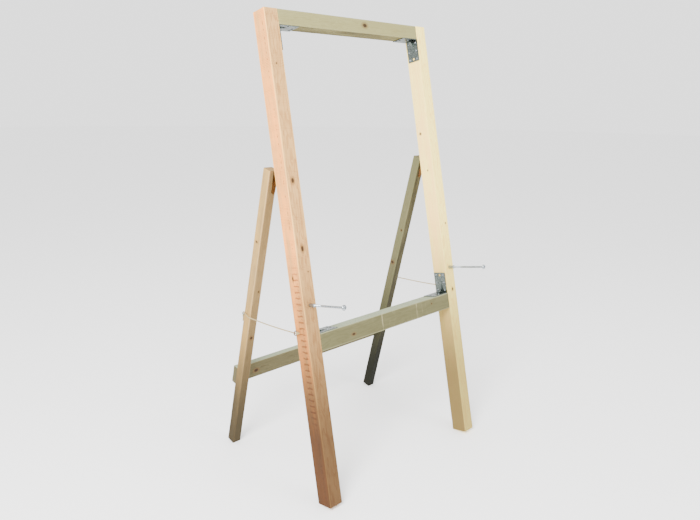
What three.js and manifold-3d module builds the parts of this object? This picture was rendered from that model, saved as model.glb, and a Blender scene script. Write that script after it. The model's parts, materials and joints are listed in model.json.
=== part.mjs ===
// A folding timber A-frame easel: a leaning front frame, a hinged rear frame, two peg bolts that carry
// what is displayed, and two restraint ropes.
// Millimetres, with the origin on the floor in the middle. +X to the right, -Y to the front, +Z up.
import * as THREE from "three";
import { mergeVertices } from "three/addons/utils/BufferGeometryUtils.js";
import Module from "manifold-3d";

const wasm = await Module();
wasm.setup();
const { Manifold } = wasm;

const RIGHT_ANGLE = 90;
const CLEARANCE = 0.3;
// How far a cut runs past the surface that it opens.
const CUT_MARGIN = 1;
const ROUND_SIDES = 24;
const SMALL_SIDES = 12;

// The front frame leans back and the rear frame leans forward to meet it.
const LEAN_DEG = 12.1;
const SPLAY_DEG = 13.4;

// Timber sizes: width runs across the easel and depth runs front to back.
const STILE_LENGTH = 1800;
const STILE_WIDTH = 58;
const STILE_DEPTH = 68;
const FRAME_WIDTH = 861;
const TOP_RAIL_HEIGHT = 56;
const TOP_RAIL_DEPTH = 60;
const LOWER_RAIL_TOP = 629;
const LOWER_RAIL_HEIGHT = 66;
const LOWER_RAIL_DEPTH = 68;
const LEG_WIDTH = 38;
const LEG_DEPTH = 40;
const LEFT_LEG_OVERHANG = 15;
const RIGHT_LEG_INSET = 10;
const CROSSBAR_DROP = 876;
const CROSSBAR_HEIGHT = 79;
const CROSSBAR_THICKNESS = 23;
const TIMBER_ARRIS = 1.5;

// Strap hinges between each stile's rear face and its leg's front face.
const HINGE_PIN_HEIGHT = 1226;
const HINGE_PIN_DROP = 8;
const HINGE_PIN_RADIUS = 2;
const HINGE_BORE_RADIUS = 2.06;
const HINGE_BARREL_RADIUS = 4;
const HINGE_BARREL_WIDTH = 20;
const HINGE_MIDDLE_KNUCKLE = 7;
const HINGE_LEAF_THICKNESS = 2;
const HINGE_TIP_RADIUS = 8;
const HINGE_REACH = 75;
const HINGE_ROOT_NOTCH = 5;
const HINGE_PIN_HEAD = 1.5;
const HINGE_PIN_HEAD_RADIUS = 3;
const HINGE_SCREW_REACHES = [28, HINGE_REACH];
const LEFT_HINGE_X = 13;
const RIGHT_HINGE_X = FRAME_WIDTH - 27;

// Ribbed angle brackets in the corners between the stiles and the rails.
const BRACKET_LEG = 90;
const BRACKET_WIDTH = 60;
const BRACKET_THICKNESS = 2.5;
const BRACKET_RIB_WIDTH = 13;
const BRACKET_RIB_REACH = 66;
const BRACKET_RIB_KNEE = 20;
const BRACKET_RIB_RISE = 7;
const BRACKET_BOLT_HOLE_RADIUS = 5.5;
const BRACKET_BOLT_HOLE_AT = 79;
const BRACKET_NAIL_HOLE_RADIUS = 2.4;
const BRACKET_HOLE_REACHES = [12, 46, 80];
const BRACKET_HOLE_SPREAD = 19;

// Wood screws, measured from under the head.
const SCREW_SHANK_RADIUS = 1.9;
const SCREW_HOLE_RADIUS = 2.3;
const SCREW_LENGTH = 26;
const SCREW_CROWN = 0.6;
const BRACKET_SCREW_HEAD_RADIUS = 4.2;
const BRACKET_SCREW_HEAD_HEIGHT = 2.4;
const HINGE_SCREW_HEAD_RADIUS = 3.6;
const HINGE_SCREW_HEAD_HEIGHT = 1.3;

// Peg bolts that stand out of the stiles' front faces.
const PEG_HEIGHT = 740;
const PEG_RADIUS = 4;
const PEG_REACH = 181;
const PEG_DEPTH = 52;
const PEG_HOLE_RADIUS = 4.3;
const PEG_HEAD_RADIUS = 10;
const PEG_HEAD_HEIGHT = 7;
const PEG_HEAD_BRIM = 1.8;
const PEG_SHOULDER = 5;
const PEG_SHOULDER_RADIUS = 8.2;
const PEG_CROWN_RADIUS = 5;
const PEG_SOCKET_RADIUS = 3.4;
const PEG_SOCKET_DEPTH = 4;
const PEG_NUT_RADIUS = 7.4;
const PEG_NUT_LENGTH = 27;
const HEX_SIDES = 6;

// Screw eyes: brass coloured on the stiles and zinc on the legs.
const STILE_EYE_HEIGHT = 644;
const STILE_EYE_DEPTH = 51;
const STILE_EYE_RING = 7.5;
const STILE_EYE_WIRE = 1.75;
const LEG_EYE_DROP = 620;
const LEG_EYE_INSET = 7;
const LEG_EYE_RING = 6.5;
const LEG_EYE_WIRE = 1.5;
const EYE_STEM = 3;
const EYE_SHANK_LENGTH = 20;

// Restraint ropes. Each runs from its tail up through the leg's eye, round the leg's rear edge, along
// its outer face and on through the stile's eye, with a stopper knot beyond each eye.
const ROPE_RADIUS = 2.25;
const ROPE_SIDES = 8;
const ROPE_STEP = 8;
const ROPE_ROUTES = {
  left: [
    [-438.5, 217.9, 582.3],
    [-438.5, 215.1, 593.9],
    [-438.5, 212.3, 605.6],
    [-438.5, 210.0, 615.3],
    [-439.3, 208.6, 619.6],
    [-442.9, 205.5, 623.9],
    [-447.1, 200.5, 626.0],
    [-449.3, 192.7, 625.2],
    [-449.5, 179.0, 620.5],
    [-449.5, 162.0, 614.2],
    [-448.5, 120.5, 614.9],
    [-447.6, 79.0, 616.4],
    [-446.6, 37.5, 618.4],
    [-445.6, -4.0, 621.2],
    [-444.7, -45.5, 624.5],
    [-443.7, -87.0, 628.6],
    [-442.8, -128.5, 633.3],
    [-442.8, -138.0, 636.3],
    [-442.8, -147.8, 638.4],
  ],
  right: [
    [413.5, 217.9, 582.3],
    [413.5, 215.1, 593.9],
    [413.5, 212.3, 605.6],
    [413.5, 210.0, 615.3],
    [414.3, 208.6, 619.6],
    [417.9, 205.5, 623.9],
    [422.1, 200.5, 626.0],
    [424.3, 192.7, 625.2],
    [424.5, 179.0, 620.5],
    [424.5, 162.0, 614.2],
    [427.1, 120.5, 614.9],
    [429.7, 79.0, 616.4],
    [432.3, 37.5, 618.4],
    [434.9, -4.0, 621.2],
    [437.5, -45.5, 624.5],
    [440.1, -87.0, 628.6],
    [442.8, -128.5, 633.3],
    [442.8, -138.0, 636.3],
    [442.8, -147.8, 638.4],
  ],
};
const ROPE_KNOTS_AT = [2, -2];
const KNOT_RADIUS = 5.6;
const KNOT_SIDES = 16;

const lean = THREE.MathUtils.degToRad(LEAN_DEG);
const splay = THREE.MathUtils.degToRad(SPLAY_DEG);
const pinOffset = HINGE_BARREL_RADIUS + CLEARANCE;

// ---- solids ----

function box(low, high) {
  const size = high.map((value, axis) => value - low[axis]);
  return Manifold.cube(size).translate(low);
}

// A solid bar with its long edges broken, running along z.
function timber(low, high, longAxis) {
  const [first, second] = [0, 1, 2].filter((axis) => axis !== longAxis);
  const width = high[first] - low[first];
  const depth = high[second] - low[second];
  const arris = TIMBER_ARRIS;
  const outline = [
    [arris, 0],
    [width - arris, 0],
    [width, arris],
    [width, depth - arris],
    [width - arris, depth],
    [arris, depth],
    [0, depth - arris],
    [0, arris],
  ];
  const length = high[longAxis] - low[longAxis];
  const bar = Manifold.extrude([outline], length);
  if (longAxis === 2) {
    return bar.translate(low);
  }
  // Turn z onto x: the outline's first direction becomes y and its second becomes z.
  return bar.rotate([RIGHT_ANGLE, 0, RIGHT_ANGLE]).translate(low);
}

// A round bar whose far end points along the given direction.
function rod(start, direction, length, radius, sides = SMALL_SIDES) {
  const bar = Manifold.cylinder(length, radius, radius, sides);
  return aimed(bar, start, direction);
}

// A turned solid: the outline lists [radius, distance along the direction] and closes on the axis.
function turned(outline, start, direction, sides = SMALL_SIDES) {
  return aimed(Manifold.revolve([outline], sides), start, direction);
}

// Turns a solid built along +z to the given direction and moves its origin to the start point.
function aimed(solid, start, direction) {
  const turn = new THREE.Quaternion().setFromUnitVectors(
    new THREE.Vector3(0, 0, 1),
    new THREE.Vector3(...direction).normalize(),
  );
  const matrix = new THREE.Matrix4().compose(
    new THREE.Vector3(...start),
    turn,
    new THREE.Vector3(1, 1, 1),
  );
  return solid.transform(matrix.toArray());
}

function union(solids) {
  return solids.reduce((sum, solid) => sum.add(solid));
}

function without(solid, cutters) {
  return cutters.reduce((rest, cutter) => rest.subtract(cutter), solid);
}

function toGeometry(solid) {
  const mesh = solid.getMesh();
  const geometry = new THREE.BufferGeometry();
  const positions = new Float32Array(mesh.numVert * 3);
  for (let vertex = 0; vertex < mesh.numVert; vertex += 1) {
    for (let axis = 0; axis < 3; axis += 1) {
      positions[vertex * 3 + axis] = mesh.vertProperties[vertex * mesh.numProp + axis];
    }
  }
  geometry.setAttribute("position", new THREE.BufferAttribute(positions, 3));
  geometry.setIndex(new THREE.BufferAttribute(new Uint32Array(mesh.triVerts), 1));
  geometry.computeVertexNormals();
  return geometry;
}

function toSolid(geometry) {
  const bare = geometry.clone();
  bare.deleteAttribute("normal");
  bare.deleteAttribute("uv");
  const merged = mergeVertices(bare);
  return new Manifold(
    new wasm.Mesh({
      numProp: 3,
      vertProperties: merged.attributes.position.array,
      triVerts: new Uint32Array(merged.index.array),
    }),
  );
}

// ---- the two frames and their materials ----

const frontFrame = new THREE.Group();
frontFrame.name = "front_frame";
frontFrame.rotation.x = -lean;
frontFrame.position.z = STILE_DEPTH * Math.sin(lean);
frontFrame.updateMatrix();

const pinPoint = new THREE.Vector3(0, STILE_DEPTH + pinOffset, HINGE_PIN_HEIGHT);
pinPoint.applyMatrix4(frontFrame.matrix);
const legLength = HINGE_PIN_DROP + (pinPoint.z + pinOffset * Math.sin(splay)) / Math.cos(splay);
const legPinHeight = legLength - HINGE_PIN_DROP;

const rearFrame = new THREE.Group();
rearFrame.name = "rear_frame";
rearFrame.rotation.x = splay;
rearFrame.position.y = pinPoint.y + pinOffset * Math.cos(splay) + legPinHeight * Math.sin(splay);
rearFrame.updateMatrix();

const FINISHES = {
  stile_timber: { color: 0xd9b183, roughness: 0.8, metalness: 0 },
  treated_timber: { color: 0xa39a6c, roughness: 0.85, metalness: 0 },
  galvanised: { color: 0xb4bcc0, roughness: 0.4, metalness: 0.9 },
  brassed: { color: 0xb98a45, roughness: 0.4, metalness: 0.9 },
  bright_steel: { color: 0xc9cdd2, roughness: 0.3, metalness: 0.95 },
  rope: { color: 0xe6dcc0, roughness: 0.9, metalness: 0 },
};

function addNode(parent, name, solid, finish) {
  const mesh = new THREE.Mesh(toGeometry(solid), new THREE.MeshStandardMaterial(FINISHES[finish]));
  mesh.name = name;
  parent.add(mesh);
  return mesh;
}

// ---- fasteners ----

// A screw seated at the given point: the head stands back along the outward direction.
function screwSolid(seat, outward, headRadius, headHeight) {
  const outline = [
    [0, -SCREW_LENGTH],
    [SCREW_SHANK_RADIUS, -SCREW_LENGTH],
    [SCREW_SHANK_RADIUS, 0],
    [headRadius, 0],
    [headRadius, headHeight / 2],
    [headRadius * SCREW_CROWN, headHeight],
    [0, headHeight],
  ];
  return turned(outline, seat, outward);
}

function screwHole(seat, outward) {
  const inward = outward.map((value) => -value);
  const start = raised(seat, outward, CUT_MARGIN);
  return rod(start, inward, SCREW_LENGTH + CUT_MARGIN + CLEARANCE, SCREW_HOLE_RADIUS);
}

function raised(point, outward, amount) {
  return point.map((value, axis) => value + outward[axis] * amount);
}

// ---- brackets ----

// The bracket is built in a corner at the origin: one leg along +x, the other along +z, width along y.
function bracketSolid() {
  const flat = box([0, 0, 0], [BRACKET_LEG, BRACKET_WIDTH, BRACKET_THICKNESS]);
  const upright = box([0, 0, 0], [BRACKET_THICKNESS, BRACKET_WIDTH, BRACKET_LEG]);
  const inner = BRACKET_THICKNESS / 2;
  const ribOutline = [
    [inner, inner],
    [BRACKET_RIB_REACH, inner],
    [BRACKET_RIB_KNEE, BRACKET_RIB_RISE],
    [BRACKET_RIB_RISE, BRACKET_RIB_KNEE],
    [inner, BRACKET_RIB_REACH],
  ];
  const middle = BRACKET_WIDTH / 2;
  const rib = Manifold.extrude([ribOutline], BRACKET_RIB_WIDTH)
    .rotate([RIGHT_ANGLE, 0, 0])
    .translate([0, middle + BRACKET_RIB_WIDTH / 2, 0]);
  const holes = [];
  const through = BRACKET_THICKNESS + 2 * CUT_MARGIN;
  for (const side of [-1, 1]) {
    for (const reach of BRACKET_HOLE_REACHES) {
      const y = middle + side * BRACKET_HOLE_SPREAD;
      holes.push(rod([reach, y, -CUT_MARGIN], [0, 0, 1], through, BRACKET_NAIL_HOLE_RADIUS));
      holes.push(rod([-CUT_MARGIN, y, reach], [1, 0, 0], through, BRACKET_NAIL_HOLE_RADIUS));
    }
  }
  const boltAt = BRACKET_BOLT_HOLE_AT;
  const boltRadius = BRACKET_BOLT_HOLE_RADIUS;
  holes.push(rod([boltAt, middle, -CUT_MARGIN], [0, 0, 1], through, boltRadius, ROUND_SIDES));
  holes.push(rod([-CUT_MARGIN, middle, boltAt], [1, 0, 0], through, boltRadius, ROUND_SIDES));
  return without(union([flat, upright, rib]), holes);
}

// Four brackets: each sits in a corner, opens towards the middle and up or down.
const bracketDepth = (STILE_DEPTH - BRACKET_WIDTH) / 2;
const topRailUnderside = STILE_LENGTH - TOP_RAIL_HEIGHT;
const innerLeft = STILE_WIDTH;
const innerRight = FRAME_WIDTH - STILE_WIDTH;
const BRACKET_PLACES = [
  { name: "top_left", x: innerLeft, z: topRailUnderside, inward: 1, up: -1, y: 0 },
  { name: "top_right", x: innerRight, z: topRailUnderside, inward: -1, up: -1, y: 0 },
  { name: "lower_left", x: innerLeft, z: LOWER_RAIL_TOP, inward: 1, up: 1, y: bracketDepth },
  { name: "lower_right", x: innerRight, z: LOWER_RAIL_TOP, inward: -1, up: 1, y: bracketDepth },
];
const UPRIGHT_SCREWS = [
  { side: -1, reach: BRACKET_HOLE_REACHES[2] },
  { side: 1, reach: BRACKET_HOLE_REACHES[2] },
  { side: -1, reach: BRACKET_HOLE_REACHES[0] },
  { side: 1, reach: BRACKET_HOLE_REACHES[0] },
];
const FLAT_SCREWS = [
  { side: -1, reach: BRACKET_HOLE_REACHES[1] },
  { side: 1, reach: BRACKET_HOLE_REACHES[2] },
];

// Where each bracket screw seats on its bracket, and which way its head faces.
function bracketScrews(place) {
  const middle = place.y + BRACKET_WIDTH / 2;
  const face = CLEARANCE + BRACKET_THICKNESS;
  const seats = UPRIGHT_SCREWS.map(({ side, reach }) => ({
    point: [
      place.x + place.inward * face,
      middle + side * BRACKET_HOLE_SPREAD,
      place.z + place.up * (CLEARANCE + reach),
    ],
    outward: [place.inward, 0, 0],
  }));
  const flats = FLAT_SCREWS.map(({ side, reach }) => ({
    point: [
      place.x + place.inward * (CLEARANCE + reach),
      middle + side * BRACKET_HOLE_SPREAD,
      place.z + place.up * face,
    ],
    outward: [0, 0, place.up],
  }));
  return seats.concat(flats);
}

for (const place of BRACKET_PLACES) {
  const solid = bracketSolid()
    .scale([place.inward, 1, place.up])
    .translate([
      place.x + place.inward * CLEARANCE,
      place.y,
      place.z + place.up * CLEARANCE,
    ]);
  addNode(frontFrame, `bracket_${place.name}`, solid, "galvanised");
  bracketScrews(place).forEach(({ point, outward }, index) => {
    const seat = raised(point, outward, CLEARANCE);
    const screw = screwSolid(seat, outward, BRACKET_SCREW_HEAD_RADIUS, BRACKET_SCREW_HEAD_HEIGHT);
    addNode(frontFrame, `bracket_screw_${place.name}_${index + 1}`, screw, "bright_steel");
  });
}

const bracketHoles = BRACKET_PLACES.flatMap((place) =>
  bracketScrews(place).map(({ point, outward }) => screwHole(point, outward)),
);

// ---- hinges ----

// A leaf built with its pin along x at the origin and its strap running down -z.
// The strap's flat back lies at y = -radius; the tapered strap ends in a round tip.
function hingeLeaf(isMiddle) {
  const half = HINGE_BARREL_WIDTH / 2;
  const middleHalf = HINGE_MIDDLE_KNUCKLE / 2;
  const back = -HINGE_BARREL_RADIUS;
  const taper = [
    [-half, 0],
    [half, 0],
    [HINGE_TIP_RADIUS, HINGE_REACH],
    [-HINGE_TIP_RADIUS, HINGE_REACH],
  ];
  const strap = Manifold.extrude([taper], HINGE_LEAF_THICKNESS)
    .rotate([-RIGHT_ANGLE, 0, 0])
    .translate([0, back, 0]);
  const tip = rod([0, back, -HINGE_REACH], [0, 1, 0], HINGE_LEAF_THICKNESS, HINGE_TIP_RADIUS, ROUND_SIDES);
  const knuckles = isMiddle
    ? [[-middleHalf, middleHalf]]
    : [
        [-half, -middleHalf - CLEARANCE],
        [middleHalf + CLEARANCE, half],
      ];
  const gaps = isMiddle
    ? [
        [-half - CUT_MARGIN, -middleHalf],
        [middleHalf, half + CUT_MARGIN],
      ]
    : [[-middleHalf - CLEARANCE, middleHalf + CLEARANCE]];
  const notches = gaps.map(([from, to]) =>
    box([from, back - CUT_MARGIN, -HINGE_ROOT_NOTCH], [to, CUT_MARGIN - back, CUT_MARGIN - back]),
  );
  const barrels = knuckles.map(([from, to]) =>
    rod([from, 0, 0], [1, 0, 0], to - from, HINGE_BARREL_RADIUS, ROUND_SIDES),
  );
  const plate = without(union([strap, tip]), notches);
  const boreLength = HINGE_BARREL_WIDTH + 2 * CUT_MARGIN;
  const bore = rod([-half - CUT_MARGIN, 0, 0], [1, 0, 0], boreLength, HINGE_BORE_RADIUS, ROUND_SIDES);
  const through = HINGE_LEAF_THICKNESS + 2 * CUT_MARGIN;
  const holes = HINGE_SCREW_REACHES.map((reach) =>
    rod([0, back - CUT_MARGIN, -reach], [0, 1, 0], through, SCREW_HOLE_RADIUS),
  );
  return without(union([plate, ...barrels]), [bore, ...holes]);
}

function hingePin() {
  const half = HINGE_BARREL_WIDTH / 2 + CLEARANCE;
  const end = half + HINGE_PIN_HEAD;
  const outline = [
    [0, -end],
    [HINGE_PIN_HEAD_RADIUS, -end],
    [HINGE_PIN_HEAD_RADIUS, -half],
    [HINGE_PIN_RADIUS, -half],
    [HINGE_PIN_RADIUS, half],
    [HINGE_PIN_HEAD_RADIUS, half],
    [HINGE_PIN_HEAD_RADIUS, end],
    [0, end],
  ];
  return turned(outline, [0, 0, 0], [1, 0, 0], ROUND_SIDES);
}

const HINGES = [
  { side: "left", x: LEFT_HINGE_X },
  { side: "right", x: RIGHT_HINGE_X },
];
const frontPin = [STILE_DEPTH + pinOffset, HINGE_PIN_HEIGHT];
const rearPin = [-pinOffset, legPinHeight];

function stileHingeSeats(x) {
  return HINGE_SCREW_REACHES.map((reach) => ({
    point: [x, STILE_DEPTH + CLEARANCE + HINGE_LEAF_THICKNESS, HINGE_PIN_HEIGHT - reach],
    outward: [0, 1, 0],
  }));
}

function legHingeSeats(x) {
  return HINGE_SCREW_REACHES.map((reach) => ({
    point: [x, -CLEARANCE - HINGE_LEAF_THICKNESS, legPinHeight - reach],
    outward: [0, -1, 0],
  }));
}

function addHingeScrews(parent, side, part, seats) {
  seats.forEach(({ point, outward }, index) => {
    const seat = raised(point, outward, CLEARANCE);
    const screw = screwSolid(seat, outward, HINGE_SCREW_HEAD_RADIUS, HINGE_SCREW_HEAD_HEIGHT);
    addNode(parent, `hinge_screw_${part}_${side}_${index + 1}`, screw, "brassed");
  });
}

for (const { side, x } of HINGES) {
  const stileLeaf = hingeLeaf(false).translate([x, frontPin[0], frontPin[1]]);
  addNode(frontFrame, `hinge_stile_leaf_${side}`, stileLeaf, "brassed");
  addNode(frontFrame, `hinge_pin_${side}`, hingePin().translate([x, frontPin[0], frontPin[1]]), "brassed");
  const legLeaf = hingeLeaf(true).scale([1, -1, 1]).translate([x, rearPin[0], rearPin[1]]);
  addNode(rearFrame, `hinge_leg_leaf_${side}`, legLeaf, "brassed");
  addHingeScrews(frontFrame, side, "stile", stileHingeSeats(x));
  addHingeScrews(rearFrame, side, "leg", legHingeSeats(x));
}

// ---- peg bolts ----

const PEG_PLACES = [
  { side: "left", x: STILE_WIDTH / 2 },
  { side: "right", x: FRAME_WIDTH - STILE_WIDTH / 2 },
];

function pegSolid(x) {
  const tip = PEG_REACH + PEG_HEAD_HEIGHT;
  const outline = [
    [0, -PEG_DEPTH],
    [PEG_RADIUS, -PEG_DEPTH],
    [PEG_RADIUS, PEG_REACH],
    [PEG_HEAD_RADIUS, PEG_REACH],
    [PEG_HEAD_RADIUS, PEG_REACH + PEG_HEAD_BRIM],
    [PEG_SHOULDER_RADIUS, PEG_REACH + PEG_SHOULDER],
    [PEG_CROWN_RADIUS, tip],
    [0, tip],
  ];
  const bolt = turned(outline, [x, 0, PEG_HEIGHT], [0, -1, 0], ROUND_SIDES);
  const socketStart = [x, PEG_SOCKET_DEPTH - tip, PEG_HEIGHT];
  const socketCut = PEG_SOCKET_DEPTH + CUT_MARGIN;
  const socket = rod(socketStart, [0, -1, 0], socketCut, PEG_SOCKET_RADIUS, HEX_SIDES);
  return bolt.subtract(socket);
}

function pegNutSolid(x) {
  const start = [x, -CLEARANCE, PEG_HEIGHT];
  const blank = rod(start, [0, -1, 0], PEG_NUT_LENGTH, PEG_NUT_RADIUS, HEX_SIDES);
  const boreStart = [x, CUT_MARGIN, PEG_HEIGHT];
  const boreLength = PEG_NUT_LENGTH + 2 * CUT_MARGIN;
  const bore = rod(boreStart, [0, -1, 0], boreLength, PEG_HOLE_RADIUS, ROUND_SIDES);
  return blank.subtract(bore);
}

const pegHoleLength = PEG_DEPTH + CUT_MARGIN + CLEARANCE;
const pegHoles = PEG_PLACES.map(({ x }) =>
  rod([x, -CUT_MARGIN, PEG_HEIGHT], [0, 1, 0], pegHoleLength, PEG_HOLE_RADIUS, ROUND_SIDES),
);
for (const { side, x } of PEG_PLACES) {
  addNode(frontFrame, `peg_bolt_${side}`, pegSolid(x), "bright_steel");
  addNode(frontFrame, `peg_nut_${side}`, pegNutSolid(x), "bright_steel");
}

// ---- screw eyes ----

// The shank runs into the timber from the face point; the ring stands off along outward.
// ringNormal is the direction a rope takes through the ring.
function screwEye(face, outward, ringNormal, ringRadius, wireRadius) {
  const stem = EYE_STEM;
  const inward = outward.map((value) => -value);
  const stemTop = raised(face, outward, stem + wireRadius);
  const shank = rod(stemTop, inward, EYE_SHANK_LENGTH + stem + wireRadius, wireRadius);
  const wire = [];
  for (let index = 0; index < SMALL_SIDES; index += 1) {
    const angle = (2 * Math.PI * index) / SMALL_SIDES;
    wire.push([ringRadius + wireRadius * Math.cos(angle), wireRadius * Math.sin(angle)]);
  }
  const ring = Manifold.revolve([wire], ROUND_SIDES);
  const centre = raised(face, outward, stem + wireRadius + ringRadius);
  return union([shank, aimed(ring, centre, ringNormal)]);
}

function eyeHole(face, outward, wireRadius) {
  const inward = outward.map((value) => -value);
  const start = raised(face, outward, CUT_MARGIN);
  const length = EYE_SHANK_LENGTH + CUT_MARGIN + CLEARANCE;
  return rod(start, inward, length, wireRadius + CLEARANCE);
}

const SIDES = [
  { side: "left", outwardX: -1, stileFace: 0, legFace: -LEFT_LEG_OVERHANG },
  { side: "right", outwardX: 1, stileFace: FRAME_WIDTH, legFace: FRAME_WIDTH - RIGHT_LEG_INSET },
];
const legEyeHeight = legLength - LEG_EYE_DROP;
const stileEyes = {};
const legEyes = {};
for (const { side, outwardX, stileFace, legFace } of SIDES) {
  stileEyes[side] = {
    face: [stileFace, STILE_EYE_DEPTH, STILE_EYE_HEIGHT],
    outward: [outwardX, 0, 0],
  };
  legEyes[side] = {
    face: [legFace - outwardX * LEG_EYE_INSET, LEG_DEPTH, legEyeHeight],
    outward: [0, 1, 0],
  };
  const stileEye = stileEyes[side];
  const legEye = legEyes[side];
  const brassEye = screwEye(stileEye.face, stileEye.outward, [0, 1, 0], STILE_EYE_RING, STILE_EYE_WIRE);
  const zincEye = screwEye(legEye.face, legEye.outward, [0, 0, 1], LEG_EYE_RING, LEG_EYE_WIRE);
  addNode(frontFrame, `stile_eye_${side}`, brassEye, "brassed");
  addNode(rearFrame, `leg_eye_${side}`, zincEye, "galvanised");
}

// ---- timber ----

const pegAndBracketHoles = [...bracketHoles, ...pegHoles];
const stileHingeHoles = HINGES.flatMap(({ x }) =>
  stileHingeSeats(x).map(({ point, outward }) => screwHole(point, outward)),
);
const stileEyeHoles = SIDES.map(({ side }) =>
  eyeHole(stileEyes[side].face, stileEyes[side].outward, STILE_EYE_WIRE),
);
const frontHoles = [...pegAndBracketHoles, ...stileHingeHoles, ...stileEyeHoles];
const STILES = [
  { side: "left", x: 0 },
  { side: "right", x: FRAME_WIDTH - STILE_WIDTH },
];
for (const { side, x } of STILES) {
  const bar = timber([x, 0, 0], [x + STILE_WIDTH, STILE_DEPTH, STILE_LENGTH], 2);
  addNode(frontFrame, `stile_${side}`, without(bar, frontHoles), "stile_timber");
}

const railStart = STILE_WIDTH + CLEARANCE;
const railEnd = FRAME_WIDTH - STILE_WIDTH - CLEARANCE;
const topRail = timber(
  [railStart, 0, topRailUnderside],
  [railEnd, TOP_RAIL_DEPTH, STILE_LENGTH],
  0,
);
const lowerRail = timber(
  [railStart, 0, LOWER_RAIL_TOP - LOWER_RAIL_HEIGHT],
  [railEnd, LOWER_RAIL_DEPTH, LOWER_RAIL_TOP],
  0,
);
addNode(frontFrame, "rail_top", without(topRail, bracketHoles), "treated_timber");
addNode(frontFrame, "rail_lower", without(lowerRail, bracketHoles), "treated_timber");

const legHingeHoles = HINGES.flatMap(({ x }) =>
  legHingeSeats(x).map(({ point, outward }) => screwHole(point, outward)),
);
const legEyeHoles = SIDES.map(({ side }) =>
  eyeHole(legEyes[side].face, legEyes[side].outward, LEG_EYE_WIRE),
);
const legStarts = {
  left: -LEFT_LEG_OVERHANG,
  right: FRAME_WIDTH - RIGHT_LEG_INSET - LEG_WIDTH,
};
for (const { side } of SIDES) {
  const x = legStarts[side];
  const bar = timber([x, 0, 0], [x + LEG_WIDTH, LEG_DEPTH, legLength], 2);
  addNode(rearFrame, `leg_${side}`, without(bar, [...legHingeHoles, ...legEyeHoles]), "treated_timber");
}

const crossbarTop = legLength - CROSSBAR_DROP;
const crossbar = timber(
  [legStarts.left, LEG_DEPTH + CLEARANCE, crossbarTop - CROSSBAR_HEIGHT],
  [legStarts.right + LEG_WIDTH, LEG_DEPTH + CLEARANCE + CROSSBAR_THICKNESS, crossbarTop],
  0,
);
addNode(rearFrame, "crossbar", crossbar, "treated_timber");

// ---- ropes ----

function circleShape(radius, sides) {
  const corners = [];
  for (let index = 0; index < sides; index += 1) {
    const angle = (2 * Math.PI * index) / sides;
    corners.push(new THREE.Vector2(radius * Math.cos(angle), radius * Math.sin(angle)));
  }
  return new THREE.Shape(corners);
}

function ropeSolid(route) {
  const points = route.map((point) => new THREE.Vector3(...point));
  const curve = new THREE.CatmullRomCurve3(points, false, "centripetal");
  const geometry = new THREE.ExtrudeGeometry(circleShape(ROPE_RADIUS, ROPE_SIDES), {
    steps: Math.ceil(curve.getLength() / ROPE_STEP),
    extrudePath: curve,
    bevelEnabled: false,
  });
  const knots = ROPE_KNOTS_AT.map((index) =>
    Manifold.sphere(KNOT_RADIUS, KNOT_SIDES).translate(route.at(index)),
  );
  return union([toSolid(geometry), ...knots]);
}

// Put the origin on the floor in the middle of the two frames; the rope routes are given from there.
const group = new THREE.Group();
group.name = "display_easel";
group.add(frontFrame, rearFrame);
group.updateMatrixWorld(true);
const centre = new THREE.Box3().setFromObject(group, true).getCenter(new THREE.Vector3());
for (const frame of [frontFrame, rearFrame]) {
  frame.position.x -= centre.x;
  frame.position.y -= centre.y;
}
for (const [side, route] of Object.entries(ROPE_ROUTES)) {
  addNode(group, `rope_${side}`, ropeSolid(route), "rope");
}

export default group;
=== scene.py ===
"""The looks of a folding timber display easel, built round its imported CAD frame.

Every board, fastener and rope gets its own mesh or material. Lengths are in metres, and MM turns millimetres
into metres. The row frame has +X to the right, -Y to the front and +Z up.
"""

import json
import math

import bmesh
import bpy
from mathutils import Matrix, Quaternion, Vector, noise


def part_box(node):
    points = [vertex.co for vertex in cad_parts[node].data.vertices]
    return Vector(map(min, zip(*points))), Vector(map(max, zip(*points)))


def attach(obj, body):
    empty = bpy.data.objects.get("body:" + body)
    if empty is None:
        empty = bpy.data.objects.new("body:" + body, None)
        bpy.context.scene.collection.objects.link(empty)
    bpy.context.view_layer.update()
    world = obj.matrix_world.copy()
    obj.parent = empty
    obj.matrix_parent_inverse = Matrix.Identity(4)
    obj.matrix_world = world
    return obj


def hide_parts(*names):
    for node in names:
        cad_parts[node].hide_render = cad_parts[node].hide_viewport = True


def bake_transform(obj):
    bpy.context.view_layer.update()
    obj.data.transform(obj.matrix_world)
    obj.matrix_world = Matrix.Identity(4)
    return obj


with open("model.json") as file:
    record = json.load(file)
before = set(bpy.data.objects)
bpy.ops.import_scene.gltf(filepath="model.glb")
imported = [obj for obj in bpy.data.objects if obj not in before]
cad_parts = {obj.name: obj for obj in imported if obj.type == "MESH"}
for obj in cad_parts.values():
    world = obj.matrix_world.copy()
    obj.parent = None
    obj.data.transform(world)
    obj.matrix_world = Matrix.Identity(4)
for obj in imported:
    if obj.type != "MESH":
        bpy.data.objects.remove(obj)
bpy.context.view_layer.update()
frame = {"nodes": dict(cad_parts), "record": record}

MM = 0.001
FRONT = "front_frame"
REAR = "rear_frame"
SIDES = ("left", "right")
CORNERS = ("top_left", "top_right", "lower_left", "lower_right")

# The two frames lean: the front one back, the rear one forward.
LEAN = math.radians(12.1)
SPLAY = math.radians(13.4)

# Each board's section in millimetres, across and deep.
STILE_SECTION = (58, 68)
TOP_RAIL_SECTION = (56, 60)
LOWER_RAIL_SECTION = (66, 68)
LEG_SECTION = (38, 40)
CROSSBAR_SECTION = (79, 23)

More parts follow.
